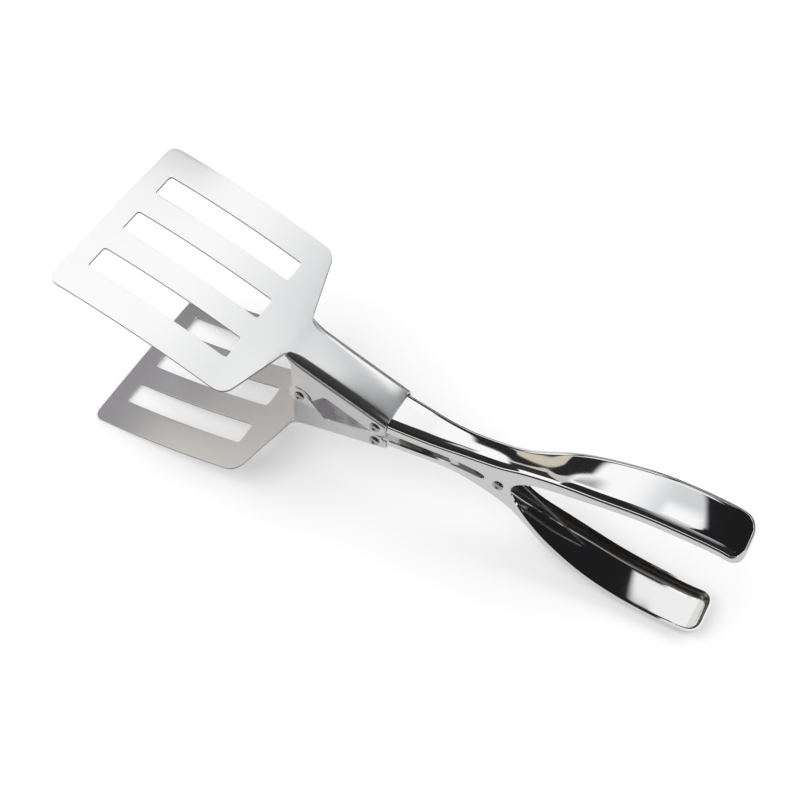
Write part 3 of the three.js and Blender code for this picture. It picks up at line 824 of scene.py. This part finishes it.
def rivet_steel():
    """Rivets and pin: darker steel with a fine mottle."""
    shop = Shop("rivet_steel")
    mottle = shop.grain((1.1 * MM,) * 3, 3.0, 0.6)
    tone = shop.mix(mottle, (0.52, 0.52, 0.53, 1), (0.64, 0.64, 0.65, 1))
    return shop.finish(Base_Color=tone, Metallic=1.0, Roughness=0.16 + 0.14 * mottle,
                       Normal=shop.bump(mottle, 0.2, 0.05 * MM))


def spring_steel():
    """Spring: wire with faint drawing marks."""
    shop = Shop("spring_steel")
    drawing = shop.grain((5 * MM, 0.3 * MM, 5 * MM), 2.0, 0.6)
    tone = shop.mix(drawing, (0.60, 0.60, 0.61, 1), (0.72, 0.72, 0.73, 1))
    return shop.finish(Base_Color=tone, Metallic=1.0, Roughness=0.28 + 0.1 * drawing)


def white_floor():
    """Pale floor that takes the tongs' soft shadow and fades out far from them."""
    shop = Shop("white_floor")
    reach = shop.node("ShaderNodeVectorMath", {"operation": "LENGTH"},
                      shop.coordinates("Object"))[1]
    return shop.finish(Base_Color=(0.93, 0.93, 0.93, 1), Roughness=0.9,
                       Alpha=reach.ramp(0.75, 0.35))


def card_finish(name, tone, feather):
    """Even tone that fades out towards the card's edges."""
    shop = Shop(name)
    along, across, _ = shop.parts("UV")
    mask = 1.0
    for spot in (along, across):
        mask = spot.ramp(0.0, feather) * spot.ramp(1.0, 1.0 - feather) * mask
    clear = shop.node("ShaderNodeBsdfTransparent", {})[0]
    plain = shop.node("ShaderNodeEmission", {}, (*tone, 1), 1.0)[0]
    mixed = shop.node("ShaderNodeMixShader", {}, mask, clear, plain)[0]
    shop.tree.links.new(mixed.socket, shop.tree.nodes["Material Output"].inputs[0])
    return shop.material


def level(low_x, high_x, low_y, high_y, z):
    """Corners of a level card."""
    return [(low_x, low_y, z), (high_x, low_y, z), (high_x, high_y, z), (low_x, high_y, z)]


BLACK = (0.012, 0.012, 0.013)
WHITE = (1.0, 1.0, 1.0)
DARK = (0.03, 0.03, 0.03)
PALE = (0.90, 0.90, 0.90)

# studio cards as (name, tone, feather, corners in metres); they are seen in the metal alone.
# The dark, white and cream shapes in the metal are their reflections. They hang at different
# heights, so that each shows in its own part of the metal.
CARDS = [
    ("right_card", BLACK, 0.02,
     [(0.20, -0.1, 0.38), (0.8, -0.1, 0.3), (0.8, 0.75, 0.03), (0.016, 0.55, 0.38)]),
    ("right_near_card", BLACK, 0.03,
     [(0.105, -0.12, 0.381), (0.35, -0.12, 0.381), (0.35, 0.14, 0.381), (0.136, 0.14, 0.381)]),
    ("right_wall_card", BLACK, 0.02,
     [(0.8, -0.85, 0.02), (0.8, 0.5, 0.02), (0.8, 0.5, 0.42), (0.8, -0.85, 0.42)]),
    ("grip_light_card", WHITE, 0.3, level(0.03, 0.15, 0.02, 0.20, 0.388)),
    ("far_wall_card", DARK, 0.08,
     [(-1.0, 1.3, 0.01), (1.0, 1.3, 0.01), (1.0, 1.3, 0.52), (-1.0, 1.3, 0.52)]),
    ("root_card", (0.65, 0.66, 0.675), 0.45, level(-0.10, 0.34, -0.45, 0.7, 0.39)),
    ("neck_card", (0.42, 0.425, 0.43), 0.3, level(-0.004, 0.048, 0.005, 0.053, 0.15)),
    ("shoulder_card", DARK, 0.05,
     [(-0.046, -0.06, 0.1), (0.012, -0.06, 0.1), (0.012, 0.0155, 0.1), (-0.046, -0.001, 0.1)]),
    ("channel_card", (0.12, 0.115, 0.11), 0.05, level(0.022, 0.046, 0.003, 0.02, 0.0505)),
    ("far_strip_card", WHITE, 0.1, level(-0.045, 0.006, 0.018, 0.06, 0.085)),
    ("left_dark_card", (0.02, 0.02, 0.022), 0.03,
     [(-0.150, 0.215, 0.385), (-0.46, 0.23, 0.385), (-1.3, 1.05, 0.385), (-0.150, 1.1, 0.385)]),
    ("far_dark_card", (0.04, 0.04, 0.042), 0.08,
     [(-0.5, 0.40, 0.40), (0.03, 0.38, 0.40), (0.03, 1.2, 0.40), (-0.5, 1.2, 0.40)]),
    ("cream_card", (0.62, 0.56, 0.47), 0.10, level(-0.155, -0.078, 0.103, 0.21, 0.16)),
    ("left_warm_card", (0.58, 0.545, 0.51), 0.1,
     [(-1.5, -0.6, 0.1), (-0.45, -0.6, 0.62), (-0.45, 0.8, 0.62), (-1.5, 0.8, 0.1)]),
    ("tip_dark_card", (0.06, 0.052, 0.075), 0.12, level(-0.38, -0.24, 0.08, 0.30, 0.2)),
    ("tip_shade_card", (0.14, 0.13, 0.155), 0.3, level(-0.225, -0.163, -0.06, 0.05, 0.05)),
    ("camera_side_card", (0.02, 0.02, 0.02), 0.04,
     [(-0.7, -0.8, 0.15), (1.0, -0.8, 0.0), (1.0, -0.08, 0.6), (-0.5, -0.12, 0.6)]),
    ("end_card", PALE, 0.04, level(0.028, 0.10, 0.045, 0.12, 0.1)),
    ("end_low_card", (0.74, 0.74, 0.74), 0.08, level(0.016, 0.098, 0.02, 0.085, 0.05)),
    ("grip_card", PALE, 0.10,
     [(0.07, 0.064, 0.15), (0.146, 0.062, 0.15), (0.131, 0.12, 0.15), (0.07, 0.12, 0.15)]),
    ("far_floor_card", DARK, 0.03, level(-0.5, 0.6, 0.11, 0.55, -0.00005)),
    ("near_floor_card", (0.60, 0.60, 0.60), 0.08, level(-0.9, 0.9, -0.17, 0.13, -0.0001)),
    ("outer_floor_card", DARK, 0.02, level(-0.9, 0.9, -1.2, -0.14, -0.00015)),
]
FLOOR_SIZE = 6
FLOOR_LEVEL = -0.0002
# the world's level in diffuse light; the camera and the metal see it at 1
WORLD_LEVEL = 0.75
# lamps as (name, place, size, power)
LAMPS = [("key_lamp", (-0.5, -0.5, 1.3), 1.2, 9), ("fill_lamp", (0.9, 0.6, 1.1), 1.0, 5)]


def add_card(name, tone, feather, corners):
    deselect()
    bpy.ops.mesh.primitive_plane_add(size=1)
    card = bpy.context.object
    card.name = name
    # a new plane has its corners row by row, not round its edge
    for vertex, k in zip(card.data.vertices, (0, 1, 3, 2)):
        vertex.co = corners[k]
    card.data.materials.append(card_finish(name, tone, feather))
    card.visible_camera = card.visible_diffuse = card.visible_shadow = False


def add_floor():
    bpy.ops.mesh.primitive_plane_add(size=FLOOR_SIZE, location=(0, 0, FLOOR_LEVEL))
    floor = bpy.context.object
    floor.name = "floor"
    floor.data.materials.append(white_floor())


def add_world():
    """White for the camera and the metal, WORLD_LEVEL for diffuse light."""
    world = bpy.data.worlds.new("studio")
    bpy.context.scene.world = world
    world.use_nodes = True
    tree = world.node_tree
    background = tree.nodes["Background"]
    background.inputs[0].default_value = (1, 1, 1, 1)
    path = tree.nodes.new("ShaderNodeLightPath")
    seen = path.outputs["Is Camera Ray"]
    for ray in ("Is Glossy Ray", "Is Transmission Ray"):
        larger = tree.nodes.new("ShaderNodeMath")
        larger.operation = "MAXIMUM"
        tree.links.new(seen, larger.inputs[0])
        tree.links.new(path.outputs[ray], larger.inputs[1])
        seen = larger.outputs[0]
    strength = tree.nodes.new("ShaderNodeMapRange")
    strength.inputs["To Min"].default_value = WORLD_LEVEL
    tree.links.new(seen, strength.inputs["Value"])
    tree.links.new(strength.outputs[0], background.inputs[1])


def add_lamps():
    """Soft lamps that look at the origin and cast the shadow, unseen in the metal."""
    for name, place, size, power in LAMPS:
        bpy.ops.object.light_add(type="AREA", location=place)
        lamp = bpy.context.object
        lamp.name = name
        lamp.data.size = size
        lamp.data.energy = power
        lamp.rotation_euler = (-Vector(place)).to_track_quat("-Z", "Y").to_euler()
        lamp.visible_glossy = False


def place_piece(piece, node, body, slot):
    """Gives a piece its finish and its body, and hides the CAD part of its node. A blended piece
    has no body here.
    """
    piece.data.materials.clear()
    piece.data.materials.append(finishes[slot])
    if body:
        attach(piece, body)
    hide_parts(node)


deselect()
add_camera()
add_floor()
for studio_card in CARDS:
    add_card(*studio_card)
add_world()
add_lamps()
finishes = {
    "plate_steel": satin_steel(), "handle_steel": polished_steel(),
    "rivet_steel": rivet_steel(), "spring_steel": spring_steel(),
}

for side, waist, lift in (("upper", UPPER_WAIST, UPPER_LIFT), ("lower", LOWER_WAIST, 0)):
    shell = handle(side + "_handle_shell", waist, lift)
    settle(shell, side == "lower")
    place_piece(shell, side + "_handle", side + "_handle", "handle_steel")

for side, dished in (("upper", True), ("lower", False)):
    plate = head(side + "_plate", dished)
    settle(plate, side == "lower")
    place_piece(plate, side + "_head", side + "_head", "plate_steel")

rivet_seat = NECK_HALF + SEAT_GAP
link_seat = FRONT_HALF - HANDLE_SHEET - SEAT_GAP
head_seat = NECK_HALF - 2 * HEAD_SHEET - 2 * SEAT_GAP
for node, pivot, seat, body in (
        ("upper_link_rivet", LINK_PIVOT, link_seat, "upper_handle"),
        ("lower_link_rivet", (LINK_REACH, -LINK_RISE), link_seat, "lower_handle"),
        ("head_rivet", HEAD_PIVOT, head_seat, "upper_head")):
    for end, low, high, ends in (("near", seat, rivet_seat, (PLAIN_END, TUBULAR_END)),
                                 ("far", -rivet_seat, -seat, (TUBULAR_END, PLAIN_END))):
        rivet = turned(f"{node}_{end}_turned", pivot, low, high, RIVET_SHANK, *ends)
        settle(rivet)
        place_piece(rivet, f"{node}_{end}", body, "rivet_steel")

pin_seat = UPPER_WAIST + SEAT_GAP
pin = turned("handle_pin_turned", (0, 0), -pin_seat, pin_seat, PIN_SHANK, TUBULAR_END,
             TUBULAR_END)
settle(pin)
place_piece(pin, "handle_pin", "upper_handle", "rivet_steel")

wire, coil_half = spring("torsion_spring_wire")
settle(wire)
place_piece(wire, "torsion_spring", None, "spring_steel")
coil_ends = [tuple(LINKAGE @ Vector((0, y, 0))) for y in (-coil_half, coil_half)]
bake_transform(wire)

bpy.context.scene.view_settings.view_transform = "Standard"
